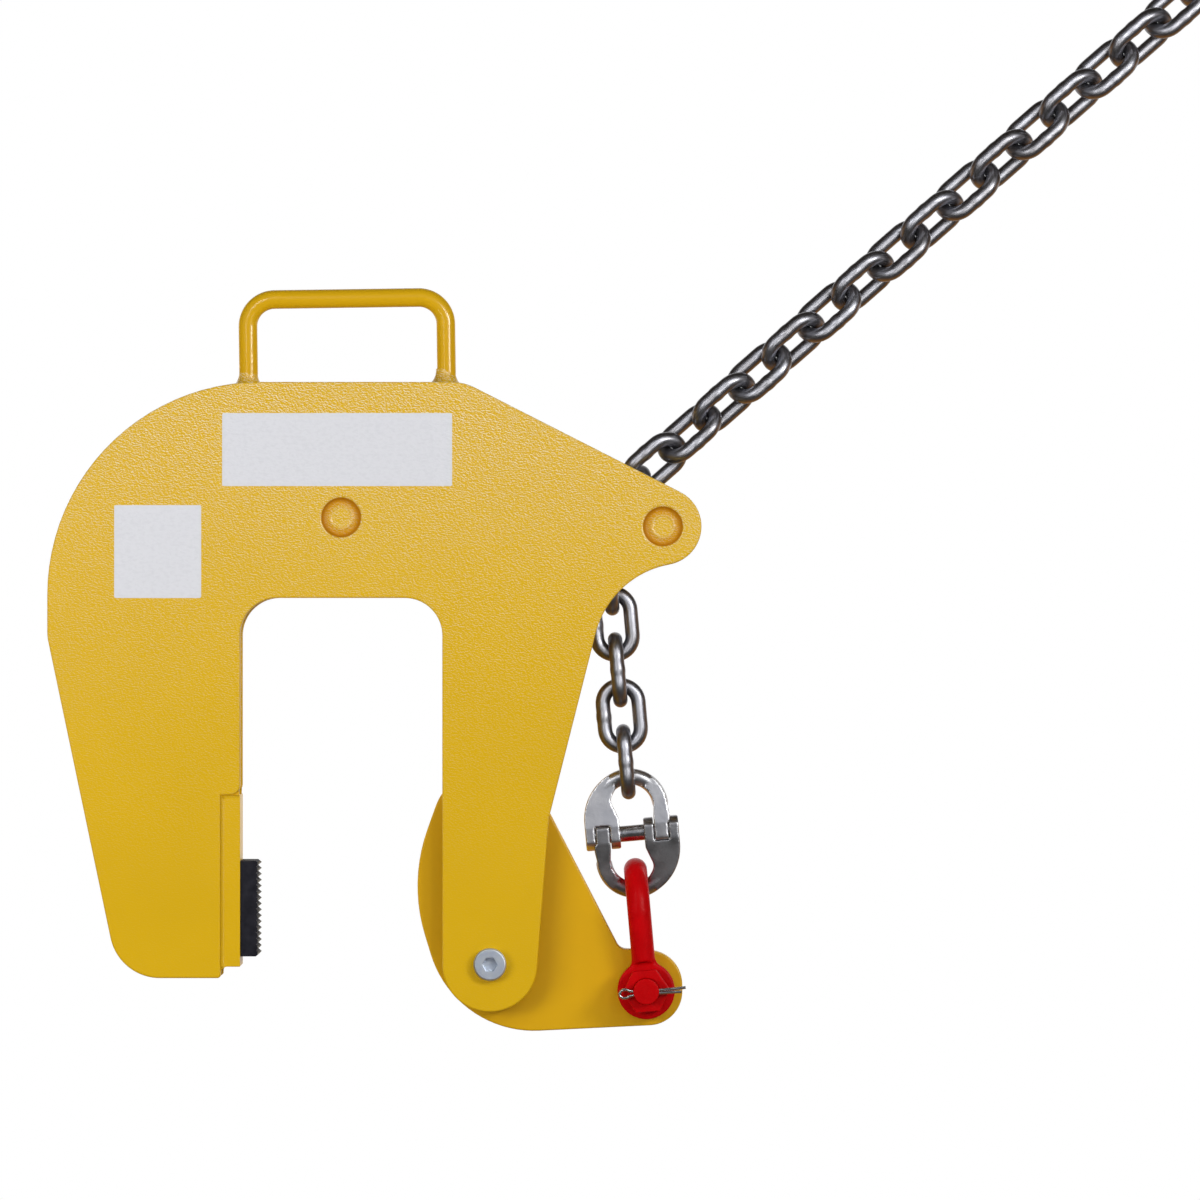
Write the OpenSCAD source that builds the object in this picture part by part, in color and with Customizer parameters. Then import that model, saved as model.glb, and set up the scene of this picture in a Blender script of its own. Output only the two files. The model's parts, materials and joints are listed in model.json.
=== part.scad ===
// Wall clamp for lifting and turning precast manhole sections.
// The slot drops over the wall. A chain over the nose roller pulls the
// cam lever up, and its lobe presses the wall against the serrated pad.
// Millimetres. The origin is the middle of the slot's top face, +Z is up,
// +X points to the nose, and the front plate lies on the -Y side.

/* [Body plates] */
// Thickness of each side plate
plate_t = 12.7; // [10:0.1:16]
// Gap between the two side plates
plate_gap = 48; // [47:0.5:56]
// Width of the slot that drops over the wall
slot_w = 172; // [160:1:180]
// Radius of the slot's two top corners
slot_corner_r = 32; // [15:1:50]
// Height of the flat top edge above the slot
crown_rise = 183.8; // [165:0.1:200]
// Distance of the plain side from the slot's centre
left_reach = 250; // [235:1:265]
// Radius of the big shoulder above the plain leg
shoulder_r = 181; // [140:1:181]
// Depth below the slot's top where the plain leg starts to taper
taper_start = 33; // [10:1:60]
// Depth of the plain leg's bottom below the slot's top
left_leg_drop = 323.3; // [318:0.1:335]
// Distance of the plain leg's toe from the slot's centre
toe_x = 189; // [170:1:205]
// Radius of the plain leg's toe
toe_r = 43; // [15:1:46]
// Depth of the cam pivot below the slot's top
pivot_drop = 311.6; // [300:0.1:325]
// Radius of the cam leg's round end
leg_end_r = 40.5; // [34:0.5:46]
// Depth of the bend in the cam leg's outer edge
kink_drop = 187; // [170:1:205]
// Distance of that bend from the slot's centre
kink_x = 176.8; // [170:0.1:184]
// Slope of the cam leg's outer edge above the bend, in degrees
flare_angle = 14.2; // [12:0.1:16]
// Distance of the nose pin from the slot's centre
nose_x = 273.7; // [262:0.1:285]
// Height of the nose pin above the slot's top
nose_rise = 60.9; // [50:0.1:72]
// Radius of the nose
nose_r = 32.8; // [30:0.1:38]
// Radius of the hollow under the nose
throat_r = 80; // [65:1:95]
// Slope of the roof line down to the nose, in degrees
roof_angle = 26.95; // [22:0.05:32]
// Radius where the top edge turns into the roof line
roof_corner_r = 45; // [10:1:80]

/* [Cross pins] */
// Diameter of the weld recesses in the plates
recess_d = 33.8; // [30:0.1:38]
// Depth of the weld recesses
recess_depth = 6; // [1:0.1:7]
// Diameter of the raised boss left inside each recess
boss_d = 21; // [16:0.5:26]
// Diameter of the centre tie between the plates
tie_d = 44; // [38:1:50]
// Height of the centre tie above the slot's top
tie_rise = 68.5; // [55:0.5:90]
// Outside diameter of the guide roller
roller_d = 54.6; // [50:0.1:56]

/* [Carrying handle] */
// Diameter of the handle's rod
handle_rod_d = 16; // [12:0.5:18]
// Distance between the centres of the handle's legs
handle_w = 169; // [150:1:175]
// Offset of the handle's middle from the slot's centre
handle_x = 4.7; // [0:0.1:10]
// Height of the grip's centre above the plates' top edge
handle_h = 72; // [60:1:90]
// Bend radius at the centre of the rod
handle_bend_r = 23; // [16:1:30]
// Thickness of the bridge bar under the handle
bridge_t = 12; // [8:1:16]

/* [Grip pad] */
// Thickness of the backing bar let into the plain leg
bar_t = 16.4; // [14:0.1:20]
// Depth of the backing bar's top below the slot's top
bar_top_drop = 167.5; // [150:0.5:185]
// Length of the backing bar
bar_len = 146.2; // [143:0.1:150]
// How far the bar's sides lie inside the plates' outer faces
bar_inset = 3; // [1:0.5:6]
// Thickness of the grip pad with its teeth
pad_t = 16.3; // [14:0.1:19]
// Height of the grip pad
pad_h = 81.4; // [75:0.1:90]
// Width of the grip pad across the plates
pad_w = 64; // [56:1:67]
// Gap between the bottom of the pad and the bottom of the bar
pad_foot = 8.7; // [5:0.1:14]
// Number of teeth up the pad's face
pad_teeth = 16; // [12:1:20]
// Depth of the pad's teeth
tooth_depth = 3; // [2:0.1:4]
// Number of grooves across the pad's teeth
pad_grooves = 9; // [5:1:12]

/* [Cam lever] */
// Thickness of the cam lever
cam_t = 28; // [24:0.5:30]
// How far the lobe reaches towards the wall from the pivot, at rest
lobe_reach = 62; // [56:0.5:66]
// Radius of the gripping face
lobe_r = 142.7; // [130:0.1:155]
// Radius of the lever's upper corner
cam_top_r = 50; // [30:1:55]
// Radius of the lever's heel below the pivot
heel_r = 92; // [60:1:95]
// Depth of the lever's lower edge below the pivot
cam_bottom_drop = 60.9; // [57:0.1:63]
// Distance of the shackle hole from the pivot
arm_x = 132.9; // [125:0.1:142]
// Depth of the shackle hole below the pivot
arm_drop = 22.4; // [17:0.1:26]
// Radius of the lever's end round the shackle hole
arm_end_r = 31; // [27:0.5:33]

/* [Pivot bolt] */
// Diameter of the pivot bolt
bolt_d = 20; // [16:0.5:22]
// Diameter of the bolt's flat head
bolt_head_d = 28; // [26:0.5:34]
// Height of the bolt's head
bolt_head_h = 7.5; // [5:0.5:10]
// Width across flats of the hexagon socket
socket_af = 11; // [8:0.5:13]
// Outside diameter of the cam's bushing
bushing_d = 30; // [26:0.5:34]
// Width across flats of the pivot nut
nut_af = 30; // [28:0.5:34]
// Height of the pivot nut
nut_h = 16; // [10:0.5:18]
// Diameter of the spacer rings beside the cam
spacer_d = 50; // [40:1:60]

/* [Shackle] */
// Diameter of the shackle's bow
bow_wire = 20; // [17:0.5:21]
// Gap between the shackle's eyes
jaw_w = 31.8; // [31:0.1:36]
// Length from the bolt's centre to the inside of the bow
bow_inside = 92.5; // [90:0.5:95]
// Widest inside width of the bow
bow_inside_w = 51; // [46:0.5:56]
// Diameter of the shackle's eyes
eye_d = 49; // [46:0.5:52]
// Fillet radius where the bow runs into its eyes
neck_r = 9; // [5:0.5:12]
// Thickness of each eye
eye_t = 18; // [15:0.5:20]
// Diameter of the shackle bolt
shackle_bolt_d = 22; // [18:0.5:23]
// Width across flats of the shackle's nut and bolt head
shackle_af = 35; // [32:0.5:38]
// Diameter of the cotter pin
cotter_d = 4; // [3:0.1:4.6]

/* [Chain] */
// Diameter of the chain's wire
wire_d = 12.5; // [11.5:0.1:13]
// Length from one link's centre to the next
pitch = 39.4; // [38.6:0.1:40.2]
// Outside width of a link
link_w = 43; // [42:0.1:45]
// Number of links from the coupling to the roller
hanging_links = 6; // [6:1:6]
// Number of links from the roller to the end coupling
upper_links = 18; // [18:1:18]
// Slope of the upper chain, in degrees
pull_angle = 41.2; // [38:0.1:45]

/* [Coupling links] */
// Length between the bearing points of a coupling
coupling_len = 83.2; // [82:0.1:86]
// Thickness of a coupling's bow
coupling_wire = 13.8; // [12:0.1:14]
// Inside width of a coupling's bows
coupling_inside_w = 38.4; // [35:0.1:40]
// Outside width of a coupling over its forks
coupling_w = 80; // [77:0.5:84]
// Diameter of a coupling's load pin
load_pin_d = 13.7; // [12:0.1:15]
// Radius of a coupling's lugs round the load pin
lug_r = 12.3; // [11.5:0.1:13]
// Thickness of a coupling over the flats of its lugs
lug_t = 22; // [18:0.5:22.5]

/* [Master link] */
// Diameter of the master link's wire
master_wire = 18; // [16:0.5:20]
// Inside length of the master link
master_inside = 135; // [110:1:150]
// Inside width of the master link
master_inside_w = 75; // [60:1:90]

/* [Hidden] */
$fn = 96;

// Clearances: a running fit, a slip fit and a seat between moving pieces
running = 0.05;
slip = 0.1;
seat = 0.3;
// Step along rounded outlines, in degrees
arc_step = 4;

// Finishes
body_yellow = [0.84, 0.62, 0.10];
shackle_red = [0.73, 0.03, 0.06];
forged_steel = [0.72, 0.72, 0.74];
chain_steel = [0.30, 0.27, 0.26];
zinc = [0.62, 0.64, 0.66];
pad_black = [0.12, 0.12, 0.14];
bronze = [0.66, 0.47, 0.25];

half_gap = plate_gap / 2;
outer_y = half_gap + plate_t;
slot_edge = slot_w / 2;
nose = [nose_x, nose_rise];
tie = [0, tie_rise];
pivot = [slot_edge + leg_end_r, -pivot_drop];
kink = [kink_x, -kink_drop];
shackle_pin = pivot + [arm_x, -arm_drop];

// Plane geometry helpers, all in the plate's own plane
function along(a) = [cos(a), sin(a)];
function angle_of(v) = atan2(v[1], v[0]);
function unit(v) = v / norm(v);
function arc(c, r, a0, a1) =
    let (n = ceil(abs(a1 - a0) / arc_step))
    [for (i = [0:n]) c + r * along(a0 + (a1 - a0) * i / n)];
function sharp(points) = [for (p = points) [p[0], p[1], 0]];
function corner(p, q, s, r) =
    let (u = unit(p - q),
         v = unit(s - q),
         half = acos(u * v) / 2,
         c = q + unit(u + v) * r / sin(half),
         from = q + u * r / tan(half) - c,
         to = q + v * r / tan(half) - c,
         cross = from[0] * to[1] - from[1] * to[0],
         turn = atan2(cross, from * to))
    arc(c, r, angle_of(from), angle_of(from) + turn);
function flat(p) = [p[0], p[1]];
// Outline through corners given as [x, z, radius]
function rounded(points) =
    let (n = len(points))
    [for (i = [0:n - 1])
        let (p = flat(points[(i + n - 1) % n]),
             q = flat(points[i]),
             s = flat(points[(i + 1) % n]),
             r = points[i][2])
        each r == 0 ? [q] : corner(p, q, s, r)];

// Roof line: touches the nose at its upper end and meets the top edge
roof_touch = nose + nose_r * [sin(roof_angle), cos(roof_angle)];
roof_start_x = roof_touch[0] - (crown_rise - roof_touch[1]) / tan(roof_angle);
// Hollow under the nose: touches the nose and the cam leg's outer edge
flare_up = [sin(flare_angle), cos(flare_angle)];
flare_out = [cos(flare_angle), -sin(flare_angle)];
throat_from = kink + throat_r * flare_out;
throat_gap = throat_from - nose;
throat_reach = -throat_gap * flare_up - sqrt(pow(throat_gap * flare_up, 2)
    - throat_gap * throat_gap + pow(nose_r + throat_r, 2));
throat = throat_from + throat_reach * flare_up;
under_nose = angle_of(throat - nose);
// Cam leg's end: the outer edge below the bend touches the end's circle
leg_edge = angle_of(pivot - kink) + asin(leg_end_r / norm(pivot - kink));

body_points = concat(
    [[-left_reach, crown_rise, shoulder_r],
     [roof_start_x, crown_rise, roof_corner_r]],
    sharp(arc(nose, nose_r, 90 - roof_angle, under_nose)),
    sharp(arc(throat, throat_r, under_nose + 180, 180 - flare_angle)),
    [[kink_x, -kink_drop, 12]],
    sharp(arc(pivot, leg_end_r, leg_edge + 90, -180)),
    [[slot_edge, 0, slot_corner_r],
     [-slot_edge, 0, slot_corner_r],
     [-slot_edge, -bar_top_drop, 8.5],
     [-slot_edge - bar_t, -bar_top_drop, 0],
     [-slot_edge - bar_t, -left_leg_drop, 3],
     [-toe_x, -left_leg_drop, toe_r],
     [-left_reach, -taper_start, 40]]);

// A flat piece in the plate's plane, from y0 to y1
module slab(y0, y1) {
    translate([0, y1, 0])
        rotate([90, 0, 0])
            linear_extrude(y1 - y0)
                children();
}

// A round bar along Y through a point of the plate's plane
module pin_y(at, r, y0, y1) {
    translate([at[0], y1, at[1]])
        rotate([90, 0, 0])
            cylinder(h = y1 - y0, r = r);
}

// A round rod between two points
module rod(a, b, r) {
    v = b - a;
    translate(a)
        rotate([0, acos(v[2] / norm(v)), atan2(v[1], v[0])])
            cylinder(h = norm(v), r = r);
}

// A hexagonal bar along Y
module hex_y(at, af, y0, y1) {
    translate([at[0], y1, at[1]])
        rotate([90, 0, 0])
            cylinder(h = y1 - y0, r = af / 2 / cos(30), $fn = 6);
}

module side_plate(y0) {
    color(body_yellow)
        difference() {
            slab(y0, y0 + plate_t)
                polygon(rounded(body_points));
            pin_y(tie, recess_d / 2, y0 - 1, y0 + plate_t + 1);
            pin_y(nose, recess_d / 2, y0 - 1, y0 + plate_t + 1);
            pin_y(pivot, bolt_d / 2 + slip, y0 - 1, y0 + plate_t + 1);
        }
}

module side_plate_front() {
    side_plate(-outer_y);
}

module side_plate_rear() {
    side_plate(half_gap);
}

// The part of a cross pin that lies in the plates and shows in the recesses
pin_end_y = outer_y - recess_depth;
module cross_pin_ends(at) {
    pin_y(at, recess_d / 2 - slip, -pin_end_y, pin_end_y);
    pin_y(at, boss_d / 2, -pin_end_y - recess_depth / 3, pin_end_y + recess_depth / 3);
}

module centre_tie() {
    color(body_yellow) {
        cross_pin_ends(tie);
        pin_y(tie, tie_d / 2, -half_gap, half_gap);
    }
}

module nose_pin() {
    color(body_yellow)
        cross_pin_ends(nose);
}

roller_side_gap = 0.5;
roller_chamfer = 2;
module guide_roller() {
    r = roller_d / 2;
    len = plate_gap - 2 * roller_side_gap;
    color(zinc)
        translate([nose[0], len / 2, nose[1]])
            rotate([90, 0, 0])
                rotate_extrude()
                    polygon([[recess_d / 2 - slip + running, 0],
                             [r - roller_chamfer, 0],
                             [r, roller_chamfer],
                             [r, len - roller_chamfer],
                             [r - roller_chamfer, len],
                             [recess_d / 2 - slip + running, len]]);
}

// Carrying handle: a bent rod that stands on the bridge bar
bridge_top = crown_rise - 2;
handle_left = handle_x - handle_w / 2;
handle_right = handle_x + handle_w / 2;
handle_tilt = 0.8;
module handle_bend(x, turn) {
    translate([x, 0, handle_h - handle_bend_r])
        rotate([90, 0, 0])
            rotate([0, 0, turn])
                rotate_extrude(angle = 90)
                    translate([handle_bend_r, 0])
                        circle(d = handle_rod_d);
}

module carry_handle() {
    r = handle_rod_d / 2;
    half = handle_w / 2;
    bend_x = half - handle_bend_r;
    sunk = 10;
    color(body_yellow)
        difference() {
            translate([handle_x, 0, crown_rise])
                rotate([0, -handle_tilt, 0]) {
                    for (side = [-1, 1])
                        translate([side * half, 0, -sunk])
                            cylinder(h = sunk + handle_h - handle_bend_r, r = r);
                    handle_bend(bend_x, 0);
                    handle_bend(-bend_x, 90);
                    rod([-bend_x, 0, handle_h], [bend_x, 0, handle_h], r);
                }
            translate([handle_left - 20, -20, bridge_top - 40])
                cube([handle_w + 40, 40, 40]);
        }
}

bridge_end = 13;
module handle_bridge() {
    color(body_yellow)
        translate([handle_left - bridge_end, -half_gap, bridge_top - bridge_t])
            cube([handle_w + 2 * bridge_end, plate_gap, bridge_t]);
}

// Plain leg: backing bar with the serrated pad screwed to it
bar_face_x = -slot_edge;
bar_half_w = outer_y - bar_inset;
pad_low = -bar_top_drop - bar_len + pad_foot;
screw_d = 10;
screw_head_d = 16;
screw_head_h = 10;
screw_at = [for (k = [0.24, 0.76]) pad_low + k * pad_h];
screw_depth = 9;

// Something round along X, from x0 to x1, at height z
module pin_x(z, r, x0, x1) {
    translate([x0, 0, z])
        rotate([0, 90, 0])
            cylinder(h = x1 - x0, r = r);
}

module backing_bar() {
    color(body_yellow)
        difference() {
            translate([bar_face_x - bar_t, -bar_half_w, -bar_top_drop - bar_len])
                cube([bar_t, 2 * bar_half_w, bar_len]);
            for (z = screw_at)
                pin_x(z, screw_d / 2 + slip, bar_face_x - bar_t - 1, bar_face_x + 1);
        }
}

tooth_pitch = pad_h / pad_teeth;
groove_pitch = pad_w / (pad_grooves + 1);
groove_half = tooth_depth * 0.8;
module grip_pad() {
    root = pad_t - tooth_depth;
    teeth = [for (i = [0:pad_teeth - 1])
        each [[root, i * tooth_pitch], [pad_t, (i + 0.5) * tooth_pitch]]];
    color(pad_black)
        difference() {
            slab(-pad_w / 2, pad_w / 2)
                translate([bar_face_x, pad_low])
                    polygon(concat([[0, 0]], teeth, [[root, pad_h], [0, pad_h]]));
            for (i = [1:pad_grooves])
                translate([bar_face_x + root, i * groove_pitch - pad_w / 2, pad_low - 1])
                    linear_extrude(pad_h + 2)
                        polygon([[0, 0], [tooth_depth + 0.1, -groove_half],
                                 [tooth_depth + 0.1, groove_half]]);
            for (z = screw_at)
                pin_x(z, screw_d / 2 + running, bar_face_x - 1, bar_face_x + screw_depth);
        }
}

module pad_screws() {
    back = bar_face_x - bar_t;
    color(zinc)
        for (z = screw_at)
            difference() {
                union() {
                    pin_x(z, screw_d / 2, back - screw_head_h / 2, bar_face_x + screw_depth - 1);
                    pin_x(z, screw_head_d / 2, back - screw_head_h, back);
                }
                translate([back - screw_head_h - 1, 0, z])
                    rotate([0, 90, 0])
                        cylinder(h = screw_head_h / 2 + 1, r = 4 / cos(30), $fn = 6);
            }
}

// Cam lever. Its outline is given round the pivot. The gripping face is an
// arc between two straight edges, which meet in a corner that it cuts off.
lobe_up = 70.4;
lobe_down = -73;
lobe_half = (lobe_up - lobe_down) / 2;
lobe_mid = (lobe_up + lobe_down) / 2;
lobe_tip = [-lobe_reach - lobe_r * (cos(lobe_mid) / sin(lobe_half) - 1), 69.5];
rear_foot = [arm_x - 22.4, -arm_drop + arm_end_r + 4];
function meet(a, da, b, db) =
    let (v = b - a)
    a + da * (v[0] * db[1] - v[1] * db[0]) / (da[0] * db[1] - da[1] * db[0]);
cam_top = meet(lobe_tip, along(lobe_up), rear_foot, along(117.3));
heel = meet(lobe_tip, along(lobe_down), [0, -cam_bottom_drop], [1, 0]);
arm_low = -arm_drop - arm_end_r + 2;
arm_high = -arm_drop + arm_end_r + 0.2;
cam_points = [
    [cam_top[0], cam_top[1], cam_top_r],
    [lobe_tip[0], lobe_tip[1], lobe_r],
    [heel[0], heel[1], heel_r],
    [arm_x + arm_end_r, arm_low, arm_end_r - 2],
    [arm_x + arm_end_r, arm_high, arm_end_r - 2],
    [rear_foot[0], rear_foot[1], 9]];

module cam_lever() {
    color(body_yellow)
        difference() {
            slab(-cam_t / 2, cam_t / 2)
                translate(pivot)
                    polygon(rounded(cam_points));
            pin_y(pivot, bushing_d / 2 + running, -cam_t, cam_t);
            pin_y(shackle_pin, shackle_bolt_d / 2 + running, -cam_t, cam_t);
        }
}

module ring_y(at, r, bore_r, y0, y1) {
    difference() {
        pin_y(at, r, y0, y1);
        pin_y(at, bore_r, y0 - 1, y1 + 1);
    }
}

module cam_bushing() {
    color(bronze)
        ring_y(pivot, bushing_d / 2, bolt_d / 2 + running, -cam_t / 2, cam_t / 2);
}

module pivot_spacers() {
    color(zinc)
        for (side = [0, 1])
            mirror([0, side, 0])
                ring_y(pivot, spacer_d / 2, bolt_d / 2 + slip, cam_t / 2 + seat, half_gap);
}

washer_t = 3;
bolt_end = 4;
module pivot_bolt() {
    head_y = -outer_y - bolt_head_h;
    socket_depth = bolt_head_h * 0.65;
    rim = 1.2;
    color(zinc)
        difference() {
            union() {
                translate([pivot[0], -outer_y, pivot[1]])
                    rotate([90, 0, 0])
                        rotate_extrude()
                            polygon([[0, 0], [bolt_head_d / 2, 0],
                                     [bolt_head_d / 2, bolt_head_h - rim],
                                     [bolt_head_d / 2 - rim, bolt_head_h],
                                     [0, bolt_head_h]]);
                pin_y(pivot, bolt_d / 2, -outer_y, outer_y + washer_t + nut_h + bolt_end);
            }
            hex_y(pivot, socket_af, head_y - 1, head_y + socket_depth);
        }
}

module pivot_washer() {
    color(zinc)
        ring_y(pivot, bolt_d * 0.92, bolt_d / 2 + slip, outer_y, outer_y + washer_t);
}

module pivot_nut() {
    y0 = outer_y + washer_t;
    color(zinc)
        difference() {
            intersection() {
                hex_y(pivot, nut_af, y0, y0 + nut_h);
                translate([pivot[0], y0 + nut_h, pivot[1]])
                    rotate([90, 0, 0])
                        rotate_extrude()
                            polygon([[0, 0], [nut_af / 2, 0],
                                     [nut_af / 2 + 4, 2.3], [nut_af / 2 + 4, nut_h],
                                     [0, nut_h]]);
            }
            pin_y(pivot, bolt_d / 2 + running, y0 - 1, y0 + nut_h + 1);
        }
}

// Chain. A link lies on the roller with its half height, which depends on
// how far it is rolled about the chain's line.
wire_r = wire_d / 2;
link_inside = pitch + seat;
link_inside_w = link_w - 2 * wire_d;
leg_offset = (link_w - wire_d) / 2;
function half_height(roll) = leg_offset * cos(roll) + wire_r;
// Rolls of the links, in degrees, counted from the coupling up
seat_roll = 6;
hanging_rolls = [90, 0, 90, 0, 90, seat_roll];
first_rolls = [-64, 36, -48];
function upper_roll(i) = i <= 3 ? first_rolls[i - 1] : i % 2 == 0 ? 48 : -40;

// Hanging line: from the shackle's bolt, past the roller's left side
line_gap = nose - shackle_pin;
line_seat = roller_d / 2 + seat + half_height(seat_roll);
hang_angle = angle_of(line_gap) + asin(line_seat / norm(line_gap));
hang_dir = along(hang_angle);
coupling_at = bow_inside - seat;
chain_from = coupling_at + coupling_len - seat / 2;
seated = shackle_pin + (chain_from + (hanging_links - 0.5) * pitch) * hang_dir;
// Upper chain: its first link hooks into the seated link's end and leans
// further over the roller than the rest of the chain
hook = seated + (link_inside - link_inside_w) / 2 * hang_dir;
first_lean = 9;
first_play = 0.15;
first_angle = pull_angle + first_lean;
first_at = link_inside / 2 + wire_r - 1;
first = hook + first_at * along(first_angle) + 0.5 * along(first_angle + 90);
pull_from = first + (pitch / 2 - first_play) * along(first_angle) - first_play * along(pull_angle);
end_coupling_at = (upper_links - 1) * pitch - seat / 2;

// Puts its children on a line, local Z along it and local X in the plane
module on_line(from, angle, distance, roll = 0) {
    at = from + distance * along(angle);
    translate([at[0], 0, at[1]])
        rotate([0, 90 - angle, 0])
            rotate([0, 0, roll])
                children();
}

// A closed link of round wire, standing on its end in the XZ plane
module oval_link(wire, inside, inside_w) {
    bend = (inside_w + wire) / 2;
    straight = inside - inside_w;
    for (end = [0, 1])
        rotate([0, end * 180, 0])
            translate([0, 0, straight / 2])
                rotate([90, 0, 0])
                    rotate_extrude(angle = 180)
                        translate([bend, 0])
                            circle(d = wire);
    for (side = [-1, 1])
        translate([side * bend, 0, -straight / 2])
            cylinder(h = straight, d = wire);
}

module plain_link() {
    oval_link(wire_d, link_inside, link_inside_w);
}

module hanging_link(i) {
    color(chain_steel)
        on_line(shackle_pin, hang_angle, chain_from + (i - 0.5) * pitch, hanging_rolls[i - 1])
            plain_link();
}

module upper_link(i) {
    color(chain_steel)
        if (i == 1)
            on_line(first, first_angle, 0, upper_roll(1))
                plain_link();
        else
            on_line(pull_from, pull_angle, (i - 1.5) * pitch, upper_roll(i))
                plain_link();
}

// Shackle, drawn with its bolt on the Y axis and its bow pointing up
crown_r = (bow_inside_w + bow_wire) / 2;
crown_z = bow_inside + bow_wire / 2 - crown_r;
eye_y = (jaw_w + eye_t) / 2;
eye_out = jaw_w / 2 + eye_t;
// Fillets of the neck: each touches the eye's round and the bow's side
neck_x = bow_wire / 2 + neck_r;
neck_z = sqrt(pow(eye_d / 2 + neck_r, 2) - neck_x * neck_x);
neck_end = atan2(-neck_z, -neck_x) + 360;
leg_lean = atan2(crown_r - eye_y, crown_z);
module eye_neck() {
    thin = bow_wire / 8;
    intersection() {
        slab(0, eye_out + bow_wire)
            polygon(concat(arc([neck_x, neck_z], neck_r, neck_end, 180),
                           arc([-neck_x, neck_z], neck_r, 0, 180 - neck_end)));
        translate([-eye_d, 0, 0])
            rotate([90, 0, 90])
                linear_extrude(2 * eye_d)
                    polygon([[eye_y - eye_t / 2, 0], [eye_out, 0],
                             [eye_out, eye_d / 4],
                             [eye_y + neck_z * tan(leg_lean) + thin, neck_z],
                             [eye_y + neck_z * tan(leg_lean) - thin, neck_z],
                             [eye_y - eye_t / 2, eye_d / 4]]);
    }
}

module at_shackle() {
    on_line(shackle_pin, hang_angle, 0)
        children();
}

module shackle_bow() {
    color(shackle_red)
        at_shackle()
            difference() {
                union() {
                    translate([0, 0, crown_z])
                        rotate([90, 0, 90])
                            rotate_extrude(angle = 180)
                                translate([crown_r, 0])
                                    circle(d = bow_wire);
                    for (side = [-1, 1]) {
                        translate([0, side * crown_r, crown_z])
                            sphere(d = bow_wire);
                        rod([0, side * eye_y, 0], [0, side * crown_r, crown_z], bow_wire / 2);
                        pin_y([0, 0], eye_d / 2, side * eye_y - eye_t / 2,
                              side * eye_y + eye_t / 2);
                        mirror([0, (1 - side) / 2, 0])
                            eye_neck();
                    }
                }
                pin_y([0, 0], shackle_bolt_d / 2 + slip, -eye_out - 1, eye_out + 1);
                pin_y([0, 0], eye_d / 2 + 1, -jaw_w / 2, jaw_w / 2);
                for (side = [0, 1])
                    mirror([0, side, 0])
                        pin_y([0, 0], eye_d / 2, eye_out, eye_out + bow_wire);
            }
}

shackle_nut_h = 16;
shackle_head_h = 12;
bolt_tail = 9;
cotter_y = -eye_out - shackle_nut_h - bolt_tail / 2;
cotter_tilt = 4;
module shackle_bolt() {
    color(shackle_red)
        at_shackle()
            difference() {
                union() {
                    pin_y([0, 0], shackle_bolt_d / 2,
                          -eye_out - shackle_nut_h - bolt_tail, eye_out + 1);
                    hex_y([0, 0], shackle_af, eye_out, eye_out + shackle_head_h);
                }
                translate([0, cotter_y, 0])
                    rotate([0, cotter_tilt + 90, 0])
                        cylinder(h = 2 * shackle_bolt_d, d = cotter_d + slip, center = true);
            }
}

module shackle_nut() {
    color(shackle_red)
        at_shackle()
            difference() {
                hex_y([0, 0], shackle_af, -eye_out - shackle_nut_h, -eye_out);
                pin_y([0, 0], shackle_bolt_d / 2 + running,
                      -eye_out - shackle_nut_h - 1, -eye_out + 1);
            }
}

cotter_loop_r = 3.6;
cotter_loop_x = -19;
cotter_leg_x = 34;
module shackle_cotter() {
    color(forged_steel)
        at_shackle()
            translate([0, cotter_y, 0])
                rotate([0, cotter_tilt, 0]) {
                    rod([cotter_loop_x + cotter_loop_r, 0, 0], [cotter_leg_x, 0, 0], cotter_d / 2);
                    translate([cotter_loop_x, 0, 0])
                        rotate([90, 0, 0])
                            rotate_extrude()
                                translate([cotter_loop_r, 0])
                                    circle(d = cotter_d * 0.6);
                }
}

// Coupling: two equal forged halves on a load pin. Each half has a single
// lug on one side and a fork on the other, and fits into the other half.
half_len = coupling_len / 2;
bow_in_r = coupling_inside_w / 2;
bow_mid_r = bow_in_r + coupling_wire / 2;
bow_out_r = bow_in_r + coupling_wire;
bow_z = half_len - bow_in_r;
bow_at = [0, bow_z];
bow_edge = coupling_wire * 0.08;
lug_gap = 0.8;
fork_wall = 8.3;
fork_out = coupling_w / 2;
fork_in = bow_in_r - 9;
slot_out = fork_out - fork_wall;
slot_in = fork_in + fork_wall;
lug_out = slot_out - lug_gap;
lug_in = slot_in + lug_gap;
slot_top = lug_r + lug_gap;
// The shoulder over the fork runs into the bow's round on a slope
shoulder_turn = 120;
shoulder_join = bow_at + (bow_out_r - 0.2) * along(shoulder_turn);
shoulder_inner = bow_at + (bow_in_r + bow_edge) * along(shoulder_turn);
shoulder_top = shoulder_join[1] - (fork_out + shoulder_join[0]) * tan(shoulder_turn - 90);
// Side view of a half: round below the load pin, flat over the lugs, and
// tapered from there into the thinner bow
module half_profile() {
    flat_z = lug_r * 0.56;
    top_z = half_len + coupling_wire;
    top_y = coupling_wire * 0.36;
    translate([-fork_out - 1, 0, 0])
        rotate([90, 0, 90])
            linear_extrude(2 * fork_out + 2)
                intersection() {
                    union() {
                        circle(r = lug_r);
                        polygon([[-lug_t / 2, 0], [lug_t / 2, 0], [lug_t / 2, flat_z],
                                 [top_y, top_z], [-top_y, top_z], [-lug_t / 2, flat_z]]);
                    }
                    translate([-lug_t / 2, -lug_r])
                        square([lug_t, lug_r + top_z]);
                }
}

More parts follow.
